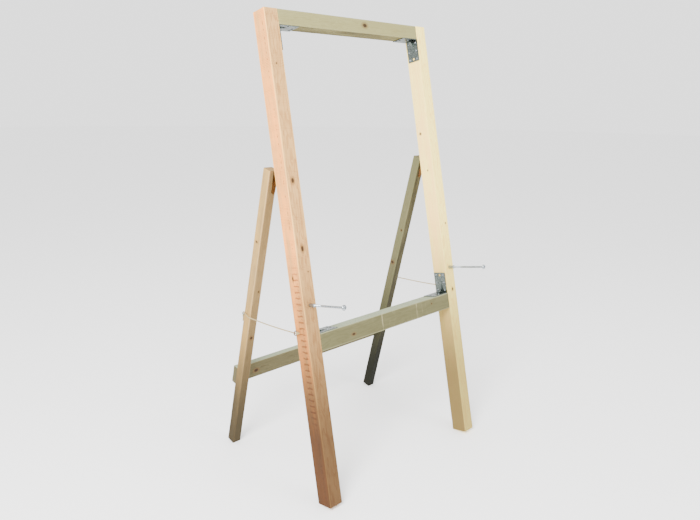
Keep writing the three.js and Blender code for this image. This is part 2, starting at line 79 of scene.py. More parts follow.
STILE_LENGTH = 1800 * MM
STILE_DEPTH = STILE_SECTION[1] * MM
LEG_DEPTH = LEG_SECTION[1] * MM
STILE_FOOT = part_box("stile_left")[0]
LEG_LOW, LEG_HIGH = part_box("leg_left")
LEG_RISE = LEG_HIGH.z - LEG_LOW.z
LEG_LENGTH = (LEG_RISE - LEG_DEPTH * math.sin(SPLAY)) / math.cos(SPLAY)

UP_THE_STILE = Vector((0, math.sin(LEAN), math.cos(LEAN)))
UP_THE_LEG = Vector((0, -math.sin(SPLAY), math.cos(SPLAY)))
BACK_OF_STILE = Vector((0, math.cos(LEAN), -math.sin(LEAN)))
BACK_OF_LEG = Vector((0, math.cos(SPLAY), math.sin(SPLAY)))


def on_stile(x, deep, along):
    """A point x across, deep behind the front faces and along the stiles from their feet."""
    foot = Vector((x, STILE_FOOT.y, STILE_DEPTH * math.sin(LEAN)))
    return foot + BACK_OF_STILE * deep + UP_THE_STILE * along


def on_leg(x, deep, along):
    """A point x across, deep behind the legs' front faces and along the legs from their feet."""
    # A leg's rearmost edge is at its foot.
    foot = Vector((x, LEG_HIGH.y - LEG_DEPTH * math.cos(SPLAY), 0))
    return foot + BACK_OF_LEG * deep + UP_THE_LEG * along


# ---- camera ----

CAMERA_FROM_FOOT = Vector((-1.3229, -1.462, 1.4658))
CAMERA_YAW = 0.7346
CAMERA_PITCH = 0.2041
CAMERA_ROLL = 0.0117
CAMERA_LENS = 31.73
CAMERA_SHIFT = (0.0237, -0.049)
CAMERA_CLIP = (0.05, 60)


def make_camera():
    """A viewpoint in front and to the left, measured from the left stile's front foot."""
    data = bpy.data.cameras.new("camera")
    data.lens = CAMERA_LENS
    data.shift_x, data.shift_y = CAMERA_SHIFT
    data.clip_start, data.clip_end = CAMERA_CLIP
    camera = bpy.data.objects.new("camera", data)
    bpy.context.scene.collection.objects.link(camera)
    flat = math.cos(CAMERA_PITCH)
    forward = Vector((
        math.sin(CAMERA_YAW) * flat,
        math.cos(CAMERA_YAW) * flat,
        -math.sin(CAMERA_PITCH),
    ))
    level = Vector((math.cos(CAMERA_YAW), -math.sin(CAMERA_YAW), 0))
    roll = Quaternion(-forward, CAMERA_ROLL)
    right = roll @ level
    up = right.cross(forward)
    axes = Matrix((right, up, -forward)).transposed().to_4x4()
    camera.matrix_world = Matrix.Translation(STILE_FOOT + CAMERA_FROM_FOOT) @ axes
    bpy.context.scene.camera = camera


make_camera()


# ---- colour and shader helpers ----

# The sRGB curve: a straight part up to the break, then a power.
SRGB_BREAK = 0.04045
SRGB_SLOPE = 12.92
SRGB_OFFSET = 0.055
SRGB_POWER = 2.4
FULL_CHANNEL = 255
# A colour mix's sockets follow the float and vector ones that share their names.
MIX_FIRST = 6
MIX_SECOND = 7
MIX_RESULT = 2


def srgb(red, green, blue):
    """A surface colour, 0 to 255 a channel, as the linear colour that shaders take.

    The surfaces are richer and deeper than they look, because strong soft light washes colours out.
    """
    channels = []
    for value in (red, green, blue):
        share = value / FULL_CHANNEL
        curved = ((share + SRGB_OFFSET) / (1 + SRGB_OFFSET)) ** SRGB_POWER
        channels.append(share / SRGB_SLOPE if share < SRGB_BREAK else curved)
    return (*channels, 1.0)


class Shader:
    """One material's node tree, with short ways to add the nodes that the finishes share."""

    def __init__(self, name):
        self.material = bpy.data.materials.new(name)
        self.material.use_nodes = True
        self.tree = self.material.node_tree
        self.surface = self.tree.nodes["Principled BSDF"]

    def node(self, kind, inputs=(), **settings):
        made = self.tree.nodes.new(kind)
        for key, value in settings.items():
            setattr(made, key, value)
        for key, value in dict(inputs).items():
            self.feed(made.inputs[key], value)
        return made

    def feed(self, socket, value):
        if isinstance(value, bpy.types.NodeSocket):
            self.tree.links.new(value, socket)
        else:
            socket.default_value = value

    def math(self, operation, first, second=0.0):
        return self.node("ShaderNodeMath", {0: first, 1: second}, operation=operation).outputs[0]

    def plus(self, first, second):
        return self.math("ADD", first, second)

    def minus(self, first, second):
        return self.math("SUBTRACT", first, second)

    def times(self, first, second):
        return self.math("MULTIPLY", first, second)

    def size_of(self, value):
        return self.math("ABSOLUTE", value)

    def length(self, vector):
        made = self.node("ShaderNodeVectorMath", {0: vector}, operation="LENGTH")
        return made.outputs["Value"]

    def smooth(self, value, low, high):
        """0 below low and 1 above high, easing between; low may be above high."""
        made = self.node(
            "ShaderNodeMapRange",
            {"Value": value, "From Min": low, "From Max": high},
            interpolation_type="SMOOTHSTEP",
        )
        return made.outputs["Result"]

    def mix(self, share, first, second):
        made = self.node("ShaderNodeMix", data_type="RGBA")
        self.feed(made.inputs["Factor"], share)
        self.feed(made.inputs[MIX_FIRST], first)
        self.feed(made.inputs[MIX_SECOND], second)
        return made.outputs[MIX_RESULT]

    def noise(self, vector, scale, detail, rough=0.55):
        made = self.node("ShaderNodeTexNoise", {
            "Vector": vector,
            "Scale": scale,
            "Detail": detail,
            "Roughness": rough,
        })
        return made.outputs["Fac"]

    def vector(self, x, y, z):
        return self.node("ShaderNodeCombineXYZ", {"X": x, "Y": y, "Z": z}).outputs[0]

    def bump(self, height, strength, distance):
        made = self.node("ShaderNodeBump", {"Height": height, "Strength": strength, "Distance": distance})
        self.feed(self.surface.inputs["Normal"], made.outputs[0])

    def set(self, **values):
        for key, value in values.items():
            self.feed(self.surface.inputs[key.replace("_", " ")], value)


def paint(obj, material):
    obj.data.materials.clear()
    obj.data.materials.append(material)


# ---- timber ----

class Timber:
    """A board: the CAD node it stands for, its section and length in millimetres, and how it lies."""

    def __init__(self, node, section, long, tilt, upright, body):
        self.node = node
        self.size = Vector((*section, long)) * MM
        self.tilt = tilt
        self.upright = upright
        self.body = body
        low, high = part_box(node)
        self.centre = (low + high) / 2

    def matrix(self):
        """From the board's own axes (across, deep, along) to the row frame."""
        turn = Matrix.Rotation(self.tilt, 4, "X")
        lie = Matrix.Identity(4)
        if not self.upright:
            # Across points up and along points to the right.
            lie = Matrix(((0, 0, 1, 0), (0, 1, 0, 0), (1, 0, 0, 0), (0, 0, 0, 1)))
        return Matrix.Translation(self.centre) @ turn @ lie


def span_mm(node):
    """How far a node reaches from left to right, in millimetres."""
    low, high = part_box(node)
    return (high.x - low.x) / MM


STILE_ALONG = STILE_LENGTH / MM
LEG_ALONG = LEG_LENGTH / MM
RAIL_SPAN = span_mm("rail_top")

TIMBERS = {
    "stile_left": Timber("stile_left", STILE_SECTION, STILE_ALONG, -LEAN, True, FRONT),
    "stile_right": Timber("stile_right", STILE_SECTION, STILE_ALONG, -LEAN, True, FRONT),
    "rail_top": Timber("rail_top", TOP_RAIL_SECTION, RAIL_SPAN, -LEAN, False, FRONT),
    "rail_lower": Timber("rail_lower", LOWER_RAIL_SECTION, RAIL_SPAN, -LEAN, False, FRONT),
    "leg_left": Timber("leg_left", LEG_SECTION, LEG_ALONG, SPLAY, True, REAR),
    "leg_right": Timber("leg_right", LEG_SECTION, LEG_ALONG, SPLAY, True, REAR),
    "crossbar": Timber("crossbar", CROSSBAR_SECTION, span_mm("crossbar"), SPLAY, False, REAR),
}

CORNER_STEPS = 5
FACE_STEPS = 6
STATION = 9 * MM
FEWEST_STATIONS = 8
END_STATIONS = (0.0, 0.35 * MM, 1.2 * MM)
END_ROUND = 1.0 * MM
END_ROUND_SHARE = 0.8
ARRIS = 1.6 * MM
ARRIS_WEAR = 2.2 * MM
WEAR_CORNER_GAP = 7.3
WEAR_PER_METRE = 14
WEAR_POWER = 1.5
SURFACE_WANDER = 0.35 * MM
WANDER_ROUND_PER_METRE = 40
WANDER_ALONG_PER_METRE = 9
WANDER_SEED_GAP = 3
BOARD_SHARP = math.radians(38)


def board_outline(width, depth, wear):
    """A closed rounded rectangle whose corner radii are the four wear values."""
    points = []
    quarters = ((1, 1, 0), (-1, 1, 1), (-1, -1, 2), (1, -1, 3))
    for (sign_x, sign_y, quarter), radius in zip(quarters, wear):
        cx = sign_x * (width / 2 - radius)
        cy = sign_y * (depth / 2 - radius)
        for step in range(CORNER_STEPS + 1):
            angle = (quarter + step / CORNER_STEPS) * math.pi / 2
            points.append(Vector((cx + radius * math.cos(angle), cy + radius * math.sin(angle))))
    # Fill the flats so that the surface can wander between the corners.
    full = []
    per_corner = CORNER_STEPS + 1
    for index, point in enumerate(points):
        full.append(point)
        if index % per_corner == CORNER_STEPS:
            following = points[(index + 1) % len(points)]
            for step in range(1, FACE_STEPS):
                full.append(point.lerp(following, step / FACE_STEPS))
    return full


def board_ring(mesh, size, seed, z):
    """One ring of a board's vertices, z above its foot, drawn in a little at the two ends."""
    width, depth, length = size
    edge = min(z, length - z)
    shrink = max(0.0, END_ROUND - edge) * END_ROUND_SHARE
    wear = []
    for corner in range(4):
        share = max(0.0, noise.noise(Vector((corner * WEAR_CORNER_GAP, seed, z * WEAR_PER_METRE))))
        wear.append(ARRIS + ARRIS_WEAR * share ** WEAR_POWER)
    ring = []
    for point in board_outline(width, depth, wear):
        inward = Vector((point.x, point.y)).normalized()
        spot = Vector((
            point.x * WANDER_ROUND_PER_METRE,
            point.y * WANDER_ROUND_PER_METRE,
            z * WANDER_ALONG_PER_METRE + seed * WANDER_SEED_GAP,
        ))
        sunk = SURFACE_WANDER * (0.5 + 0.5 * noise.noise(spot)) + shrink
        placed = point - inward * sunk
        ring.append(mesh.verts.new((placed.x, placed.y, z - length / 2)))
    return ring


def make_board(timber, seed):
    """A sawn board with worn arrises and a slightly uneven face."""
    length = timber.size.z
    count = max(FEWEST_STATIONS, round(length / STATION))
    stations = list(END_STATIONS)
    stations += [length * step / count for step in range(1, count)]
    stations += [length - offset for offset in reversed(END_STATIONS)]
    mesh = bmesh.new()
    rings = [board_ring(mesh, timber.size, seed, z) for z in stations]
    for low, high in zip(rings, rings[1:]):
        for index in range(len(low)):
            following = (index + 1) % len(low)
            mesh.faces.new((low[index], low[following], high[following], high[index]))
    mesh.faces.new(list(reversed(rings[0])))
    mesh.faces.new(rings[-1])
    matrix = timber.matrix()
    mesh.transform(matrix)
    if matrix.determinant() < 0:
        bmesh.ops.reverse_faces(mesh, faces=mesh.faces)
    return finish_mesh(mesh, f"{timber.node}_board", BOARD_SHARP)


def finish_mesh(mesh, name, sharp):
    """A smooth-shaded object made from a mesh, with edges above the sharp angle left sharp."""
    data = bpy.data.meshes.new(name)
    mesh.to_mesh(data)
    mesh.free()
    for polygon in data.polygons:
        polygon.use_smooth = True
    data.set_sharp_from_angle(angle=sharp)
    obj = bpy.data.objects.new(name, data)
    bpy.context.scene.collection.objects.link(obj)
    return obj


# ---- timber finish: distances are in millimetres, and noise scales are per millimetre ----

SLOW_ROUND = 0.25
SLOW_ALONG = 0.05
SLOW_SEED_GAP = 11.0
FIBRE_ALONG = 0.022
FIBRE_SEED_GAP = 5.0
FIBRE_SCALE = 1.1
COARSE_FIBRE_SCALE = 0.24
BLOTCH_SCALE = 0.11
SPECKLE_SCALE = 0.35
RING_WANDER_SCALE = 0.16
RING_WANDER = 34.0
# A face's tint starts at the first distance inside the face and is full at the second.
FACE_EDGE = (1.6, 0.6)
END_EDGE = (1.2, 0.6)
TOP_SHARE = 0.8
END_GRAIN_SHARE = 0.7
SAW_SEED_GAP = 3.0
SAW_DRIFT = 5.0
SAW_TURNS = 1.15
SAW_SHARE = 0.55
LADDER_DRIFT = 9.0
LADDER_SHARE = 0.62
SEAM_DRIFT = 8.0
SEAM_SHARE = 0.75
# The pale arris, worn wood with a painted highlight: how far in it reaches, and how ragged it is.
WORN_HIGHLIGHT_REACH = (5.5, 1.2)
WORN_HIGHLIGHT_RAGGED = 7.0
DIRT_SHADE_RAGGED = 120.0
SCRAPED_SHARE = 0.7
KNOT_RAGGED = 0.5
HALO_REACH = (2.1, 0.9)
HALO_SHARE = 0.55
CORE_REACH = (1.05, 0.55)
CORE_SHARE = 0.88
TIMBER_SHINE = 0.12
TIMBER_ROUGHNESS = 0.62
FIBRE_ROUGHNESS = 0.22
GRAIN_STRENGTH = 0.55
GRAIN_DEPTH = 0.7 * MM


def board_coordinates(shader, timber):
    """The board's own across, deep and along coordinates, in millimetres from its centre."""
    coordinates = shader.node("ShaderNodeTexCoord")
    mapping = shader.node("ShaderNodeMapping", vector_type="TEXTURE")
    mapping.inputs["Location"].default_value = timber.centre
    mapping.inputs["Rotation"].default_value = (timber.tilt, 0, 0)
    mapping.inputs["Scale"].default_value = (MM, MM, MM)
    shader.feed(mapping.inputs["Vector"], coordinates.outputs["Object"])
    split = shader.node("ShaderNodeSeparateXYZ", {0: mapping.outputs[0]})
    x, y, z = split.outputs
    return (x, y, z) if timber.upright else (z, y, x)


class TimberShader(Shader):
    """A board's shader, with the distances and noises that its layers share."""

    def __init__(self, name, timber, seed):
        super().__init__(name)
        self.seed = seed
        self.across, self.deep, self.along = board_coordinates(self, timber)
        self.half_across, self.half_deep, self.half_along = (value / MM / 2 for value in timber.size)
        self.low = self.times(self.along, SLOW_ALONG)
        self.wide = self.vector(
            self.plus(self.times(self.across, SLOW_ROUND), seed * SLOW_SEED_GAP),
            self.times(self.deep, SLOW_ROUND),
            self.low,
        )
        # Fine fibres run along the board.
        fine = self.vector(
            self.plus(self.across, seed * FIBRE_SEED_GAP),
            self.deep,
            self.times(self.along, FIBRE_ALONG),
        )
        self.fibre = self.noise(fine, FIBRE_SCALE, 4.0, 0.65)
        self.coarse_fibre = self.noise(fine, COARSE_FIBRE_SCALE, 3.0, 0.6)
        self.blotch = self.noise(self.wide, BLOTCH_SCALE, 4.0, 0.6)
        everywhere = self.vector(self.across, self.deep, self.along)
        self.speckle = self.noise(everywhere, SPECKLE_SCALE, 3.0, 0.7)
        start, full = FACE_EDGE
        self.outer = self.smooth(self.size_of(self.across), self.half_across - start, self.half_across - full)


def late_wood(shader, rings, pith):
    """1 in the dark late wood of each growth ring; slow noise makes the grain wander."""
    slow = shader.noise(shader.wide, RING_WANDER_SCALE, 2.0)
    wander = shader.times(shader.minus(slow, 0.5), RING_WANDER)
    from_pith = shader.vector(
        shader.minus(shader.across, pith[0]),
        shader.minus(shader.deep, pith[1]),
        0.0,
    )
    phase = shader.math("DIVIDE", shader.plus(shader.length(from_pith), wander), rings)
    year = shader.math("FRACT", phase)
    return shader.times(shader.smooth(year, 0.35, 0.9), shader.smooth(year, 1.0, 0.93))


def bare_wood(shader, late, light, dark):
    """Early and late wood, streaked by the coarse fibres."""
    late_share = shader.times(late, shader.plus(shader.times(shader.blotch, 0.7), 0.12))
    colour = shader.mix(late_share, light, dark)
    streak = shader.times(shader.smooth(shader.coarse_fibre, 0.45, 0.72), 0.4)
    return shader.mix(streak, colour, dark)


def paint_face_light_and_shade(shader, colour, side, side_share, top, front, front_share):
    """Painted light and shade on each pair of faces: side tints the faces across, lighter or darker as they
    meet the light; top and front tint one face each, the legs' fronts in painted shade.
    """
    patchy = shader.times(shader.smooth(shader.blotch, 0.2, 0.75), side_share)
    colour = shader.mix(shader.times(shader.outer, patchy), colour, side)
    start, full = FACE_EDGE
    if top is not None:
        upper = shader.smooth(shader.across, shader.half_across - start, shader.half_across - full)
        colour = shader.mix(shader.times(upper, TOP_SHARE), colour, top)
    if front is not None:
        facing = shader.smooth(shader.deep, start - shader.half_deep, full - shader.half_deep)
        patchy = shader.times(facing, shader.smooth(shader.blotch, 0.15, 0.6))
        colour = shader.mix(shader.times(patchy, front_share), colour, front)
    return colour


def saw_marks(shader, saw):
    """Marks that run across the board, show in bands and break up into speckles."""
    drift = shader.times(shader.noise(shader.wide, 0.9, 1.0), SAW_DRIFT)
    tooth = shader.math("SINE", shader.times(shader.plus(shader.along, drift), SAW_TURNS))
    slow = shader.noise(shader.vector(shader.seed * SAW_SEED_GAP, 0.0, shader.low), 0.35, 2.0)
    marks = shader.times(shader.smooth(tooth, 0.1, 0.95), shader.smooth(slow, 0.42, 0.62))
    return shader.times(shader.times(marks, saw), shader.smooth(shader.speckle, 0.35, 0.6))


def ladder_mask(shader, ladder):
    """Coarse saw marks like rungs up the side of a board: where they are, how wide, and how far apart."""
    centre, half_range, middle, half_width, spacing = ladder
    slow = shader.noise(shader.vector(0.0, shader.deep, shader.along), 0.05, 2.0)
    drifted = shader.plus(shader.along, shader.times(slow, LADDER_DRIFT))
    turns = shader.math("DIVIDE", drifted, spacing / (2 * math.pi))
    rungs = shader.smooth(shader.math("SINE", turns), 0.35, 0.95)
    from_centre = shader.size_of(shader.minus(shader.along, centre))
    from_middle = shader.size_of(shader.minus(shader.deep, middle))
    inside = shader.times(
        shader.smooth(from_centre, half_range, half_range * 0.7),
        shader.smooth(from_middle, half_width, half_width * 0.6),
    )
    return shader.times(shader.times(rungs, inside), shader.outer)


def seam_mask(shader, seam):
    """A broken dark line up the side of a board."""
    slow = shader.noise(shader.vector(0.0, 0.0, shader.along), 0.006, 1.0)
    wandered = shader.plus(shader.deep, shader.times(slow, SEAM_DRIFT))
    off = shader.size_of(shader.minus(wandered, seam + SEAM_DRIFT / 2))
    dashes = shader.smooth(shader.noise(shader.vector(3.0, 0.0, shader.along), 0.07, 2.0), 0.5, 0.6)
    line = shader.times(shader.smooth(off, 2.4, 0.8), dashes)
    return shader.times(shader.times(line, SEAM_SHARE), shader.outer)


def wear_and_highlight_edges(shader, colour, edge):
    """Worn arrises show paler wood, and the pale edge also carries a painted highlight."""
    pale, share = edge
    to_side = shader.minus(shader.half_across, shader.size_of(shader.across))
    to_face = shader.minus(shader.half_deep, shader.size_of(shader.deep))
    to_edge = shader.math("MAXIMUM", to_side, to_face)
    ragged = shader.plus(to_edge, shader.times(shader.minus(shader.coarse_fibre, 0.5), WORN_HIGHLIGHT_RAGGED))
    return shader.mix(shader.times(shader.smooth(ragged, *WORN_HIGHLIGHT_REACH), share), colour, pale)


def foot_dirt_and_shade(shader, colour, foot):
    """Dirt and painted shade, darker towards the ground end: from reach above it down to full, with a share
    each for sides and faces.
    """
    # The dirt colour here holds painted shade as well.
    dirt, reach, full, side_dirt_shade, face_dirt_shade = foot
    height = shader.plus(shader.along, shader.times(shader.blotch, DIRT_SHADE_RAGGED))
    foot_darkening = shader.smooth(height, reach - shader.half_along, full - shader.half_along)
    extra = shader.times(shader.outer, side_dirt_shade - face_dirt_shade)
    return shader.mix(shader.times(foot_darkening, shader.plus(extra, face_dirt_shade)), colour, dirt)


def scrape(shader, colour, scuffs):
    """Pale scrapes across the board, within reach of one place along it."""
    pale, place, reach = scuffs
    stretched = shader.vector(shader.times(shader.across, 0.05), shader.deep, shader.times(shader.along, 0.5))
    scratch = shader.smooth(shader.noise(stretched, 0.14, 3.0, 0.6), 0.6, 0.68)
    nearby = shader.smooth(shader.size_of(shader.minus(shader.along, place)), reach, reach * 0.5)
    return shader.mix(shader.times(shader.times(scratch, nearby), SCRAPED_SHARE), colour, pale)


def show_end_grain(shader, colour, late, light, dark):
    """End grain is darker and shows the rings more strongly."""
    start, full = END_EDGE
    at_end = shader.smooth(shader.size_of(shader.along), shader.half_along - start, shader.half_along - full)
    return shader.mix(shader.times(at_end, END_GRAIN_SHARE), colour, shader.mix(late, light, dark))


def knot_distance(shader, knot):
    """Distance from a knot's centre, 1 at its edge; a knot is long across the board's thickness."""
    parts = []
    for value, centre, radius in zip((shader.across, shader.deep, shader.along), *knot):
        parts.append(shader.math("DIVIDE", shader.minus(value, centre), radius))
    return shader.length(shader.vector(*parts))


def add_knot(shader, colour, knot):
    """A dark core in a warm halo."""
    ragged = shader.times(shader.minus(shader.speckle, 0.5), KNOT_RAGGED)
    distance = shader.plus(knot_distance(shader, knot), ragged)
    colour = shader.mix(shader.times(shader.smooth(distance, *HALO_REACH), HALO_SHARE), colour, KNOT_HALO)
    return shader.mix(shader.times(shader.smooth(distance, *CORE_REACH), CORE_SHARE), colour, KNOT_CORE)


def finish_timber(shader, colour, late, marks):
    """The colour, a dry roughness, and relief from the fibres, the saw marks and the rings."""
    shader.set(Base_Color=colour, Specular_IOR_Level=TIMBER_SHINE)
    shader.set(Roughness=shader.plus(shader.times(shader.fibre, FIBRE_ROUGHNESS), TIMBER_ROUGHNESS))
    height = shader.plus(shader.fibre, shader.times(shader.coarse_fibre, 0.6))
    height = shader.plus(height, shader.times(marks, 0.8))
    height = shader.minus(height, shader.times(late, 0.25))
    shader.bump(height, GRAIN_STRENGTH, GRAIN_DEPTH)


def timber_material(name, timber, seed, light, dark, side, edge, foot, pith, rings=5.5, knots=(),
                    side_share=0.75, saw=0.5, top=None, front=None, front_share=0.6, scuffs=None,
                    ladder=None, seam=None):
    """Solid softwood: growth rings round a pith, fibres, saw marks, knots, worn edges with a painted
    highlight, painted light and shade on the faces, and a foot darkened by dirt and painted shade.

    light and dark are the early and late wood; side tints the faces across with painted light and shade; edge
    is the worn arris with its painted highlight;
    foot is the dark colour near the ground, dirt with painted shade; top and front tint one face each with
    painted light and shade; scuffs is a pale scraped colour.
    """
    shader = TimberShader(name, timber, seed)
    late = late_wood(shader, rings, pith)
    colour = bare_wood(shader, late, light, dark)
    # Painted light and shade: each face is tinted for how it meets the light.
    colour = paint_face_light_and_shade(shader, colour, side, side_share, top, front, front_share)
    marks = saw_marks(shader, saw)
    colour = shader.mix(shader.times(marks, SAW_SHARE), colour, dark)
    if ladder is not None:
        marks = shader.math("MAXIMUM", marks, ladder_mask(shader, ladder))
        colour = shader.mix(shader.times(marks, LADDER_SHARE), colour, RUST)
    if seam is not None:
        colour = shader.mix(seam_mask(shader, seam), colour, RUST)
    # Worn paler arrises, with a painted highlight along the edges.
    colour = wear_and_highlight_edges(shader, colour, edge)
    # Dirt and painted shade darken the board towards its foot.
    if foot is not None:
        colour = foot_dirt_and_shade(shader, colour, foot)
    if scuffs is not None:
        colour = scrape(shader, colour, scuffs)
    colour = show_end_grain(shader, colour, late, light, dark)
    for knot in knots:
        colour = add_knot(shader, colour, knot)
    finish_timber(shader, colour, late, marks)
    return shader.material


PEACH = srgb(190, 148, 92)
PEACH_DARK = srgb(146, 98, 54)
ORANGE = srgb(255, 160, 74)
RUST = srgb(104, 44, 22)
# A dark foot colour: dirt with painted shade.
EARTH_AND_SHADE = srgb(47, 28, 16)
STRAW = srgb(255, 236, 132)
STRAW_DARK = srgb(232, 178, 92)
MOSS = srgb(132, 126, 82)
MOSS_DARK = srgb(104, 92, 58)
MINT = srgb(142, 152, 128)
TAN = srgb(178, 142, 80)
# Dark foot colours: dirt with painted shade.
MUD_AND_SHADE = srgb(36, 33, 22)
BLACK_MOSS_AND_SHADE = srgb(20, 21, 15)
KNOT_HALO = srgb(96, 68, 38)
KNOT_CORE = srgb(40, 25, 16)

# side, top and front are painted light and shade on those faces; edge is a worn arris with a painted
# highlight; foot is dirt with painted shade, darker towards the ground.
# Pith and knots are (across, deep[, along]) in millimetres from the board's centre.
TIMBER_LOOKS = {
    "stile_left": dict(
        light=PEACH, dark=PEACH_DARK, side=ORANGE, edge=(srgb(250, 200, 118), 0.5),
        foot=(EARTH_AND_SHADE, 1150.0, 260.0, 0.95, 0.85), pith=(18, 90), rings=6.5, side_share=1.0, saw=0.6,
        ladder=(-310.0, 330.0, -7.0, 19.0, 22.0), seam=-14.0, knots=(
            ((-3, -34, 290), (7, 16, 11)),
            ((0, -34, 45), (7, 16, 12)),
            ((12, -34, -40), (2.5, 8, 2.5)),
            ((-6, -34, 705), (3, 8, 3)),
            ((-29, 8, -60), (12, 4, 9)),
        )),
    "stile_right": dict(
        light=STRAW, dark=STRAW_DARK, side=srgb(255, 206, 128), edge=(srgb(255, 230, 136), 0.35),
        foot=(srgb(84, 68, 38), 1150.0, 300.0, 0.92, 0.72), pith=(-60, 70), rings=5.0, side_share=0.8,
        saw=0.5, knots=(
            ((12, -34, 35), (3.5, 8, 3.5)),
            ((-29, -4, 276), (8, 3, 3.5)),
            ((-29, 12, 440), (8, 5, 5)),
            ((6, -34, -260), (5, 12, 7)),
        )),
    "rail_top": dict(
        light=MOSS, dark=MOSS_DARK, side=srgb(46, 37, 17), edge=(srgb(150, 146, 106), 0.3), foot=None,
        pith=(-70, 30), rings=6.0, saw=0.3, top=MINT, front=srgb(134, 130, 88), knots=(
            ((4, -30, 60), (9, 16, 13)),
        )),
    "rail_lower": dict(
        light=srgb(98, 94, 66), dark=srgb(74, 68, 42), side=srgb(78, 70, 44), edge=(srgb(142, 140, 108), 0.4),
        foot=None, pith=(40, 80), rings=7.0, saw=0.5, top=MINT, front=srgb(84, 82, 54),
        scuffs=(srgb(146, 138, 104), 70.0, 190.0), knots=(
            ((-8, -34, -210), (5, 14, 9)),
            ((10, -34, 255), (3, 8, 4)),
        )),
    "leg_left": dict(
        light=srgb(150, 124, 82), dark=srgb(108, 84, 50), side=TAN, edge=(srgb(206, 170, 118), 0.4),
        foot=(MUD_AND_SHADE, 900.0, 120.0, 0.93, 0.88), pith=(50, 40), rings=5.0, saw=0.3, side_share=1.0,
        front=srgb(116, 94, 60), knots=(
            ((-19, 2, 330), (4, 6, 4)),
            ((2, -20, -92), (7, 10, 8)),
            ((6, -20, 120), (3, 8, 5)),
        )),
    "leg_right": dict(
        light=srgb(104, 98, 70), dark=srgb(74, 66, 40), side=srgb(92, 92, 62), edge=(srgb(122, 120, 86), 0.3),
        foot=(BLACK_MOSS_AND_SHADE, 900.0, 160.0, 0.97, 0.97), pith=(-45, 50), rings=4.6, saw=0.3, side_share=0.9,
        front=srgb(54, 50, 34), front_share=0.9, knots=(
            ((-19, 4, 90), (4, 9, 8)),
            ((-19, -6, 262), (3, 5, 5)),
        )),
    "crossbar": dict(
        light=srgb(92, 86, 60), dark=srgb(64, 56, 34), side=srgb(84, 78, 52), edge=(srgb(132, 122, 88), 0.35),
        foot=None, pith=(-60, 30), rings=5.5, saw=0.4, top=MINT, knots=(
            ((-6, -11, -330), (9, 12, 12)),
            ((8, 11, 140), (8, 10, 10)),
        )),
}


def dress_timber():
    for seed, (node, timber) in enumerate(TIMBERS.items(), start=1):
        board = make_board(timber, seed)
        paint(board, timber_material(node, timber, float(seed), **TIMBER_LOOKS[node]))
        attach(board, timber.body)
        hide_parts(node)


dress_timber()


# ---- metal finishes ----

METAL_TONE_ROUGHNESS = 0.22
METAL_RELIEF = 0.2 * MM
STAIN_SHARE = 0.6


def metal_material(name, light, dark, rough, patch_scale, bump, stain=None, metallic=1.0):
    """Plated or galvanised steel: soft patches, fine scratches and stains in scattered spots."""
    shader = Shader(name)
    place = shader.node("ShaderNodeTexCoord").outputs["Object"]
    patches = shader.noise(place, patch_scale, 4.0, 0.65)
    crystals = shader.node("ShaderNodeTexVoronoi", {"Vector": place, "Scale": patch_scale * 2.2})
    facet = shader.node("ShaderNodeSeparateColor", {0: crystals.outputs["Color"]}).outputs[0]
    tone = shader.plus(shader.times(patches, 0.7), shader.times(facet, 0.3))
    colour = shader.mix(shader.smooth(tone, 0.25, 0.8), dark, light)
    if stain is not None:
        spots = shader.smooth(shader.noise(place, patch_scale * 1.7, 5.0, 0.7), 0.56, 0.74)
        colour = shader.mix(shader.times(spots, STAIN_SHARE), colour, stain)
    scratch = shader.noise(place, patch_scale * 9, 4.0, 0.7)
    shader.set(Base_Color=colour, Metallic=metallic)
    shader.set(Roughness=shader.plus(shader.times(tone, METAL_TONE_ROUGHNESS), rough))
    shader.bump(shader.plus(scratch, tone), bump, METAL_RELIEF)
    return shader.material


GALVANISED = metal_material(
    "galvanised", srgb(128, 136, 130), srgb(58, 66, 64),
    rough=0.2, patch_scale=190, bump=0.16, stain=srgb(30, 36, 34),
)
ZINC = metal_material(
    "bright_zinc", srgb(196, 202, 204), srgb(92, 100, 108),
    rough=0.18, patch_scale=260, bump=0.08, metallic=0.92,
)
BRASS = metal_material(
    "brassed", srgb(150, 104, 52), srgb(60, 40, 22),
    rough=0.3, patch_scale=240, bump=0.16, stain=srgb(40, 28, 18),
)


# ---- turned pieces and screws ----

def aimed(mesh, start, direction):
    """Turns a mesh built along +Z to the direction and moves its origin to start."""
    turn = Vector((0, 0, 1)).rotation_difference(Vector(direction).normalized()).to_matrix().to_4x4()
    mesh.transform(Matrix.Translation(start) @ turn)


def lathe(outline, sides, shape=None):
    """A turned solid from [radius, height] points; shape may change each point's radius and height."""
    mesh = bmesh.new()
    rings = []
    for radius, height in outline:
        if radius == 0:
            rings.append([mesh.verts.new((0, 0, height))])
            continue
        ring = []
        for index in range(sides):
            angle = 2 * math.pi * index / sides
            r, z = shape(radius, height, angle) if shape else (radius, height)
            ring.append(mesh.verts.new((r * math.cos(angle), r * math.sin(angle), z)))
        rings.append(ring)
    for low, high in zip(rings, rings[1:]):
        for index in range(sides):
            following = (index + 1) % sides
            corners = [low[index % len(low)], low[following % len(low)],
                       high[following % len(high)], high[index % len(high)]]
            distinct = list(dict.fromkeys(corners))
            if len(distinct) > 2:
                mesh.faces.new(distinct)
    return mesh


# Shares of a screw head's radius, then of its height.
CROSS_WIDTH = 0.16
CROSS_REACH = 0.58
SHANK_SHARE = 0.45
UNDERSIDE_SHARE = 0.9
SHANK_TOP = -0.02
RIM_LOW = 0.12
RIM_HIGH = 0.35
CROSS_DEPTH = 0.55
CROSS_ABOVE = 0.4
HEAD_RINGS = 12
HEAD_SIDES = 40


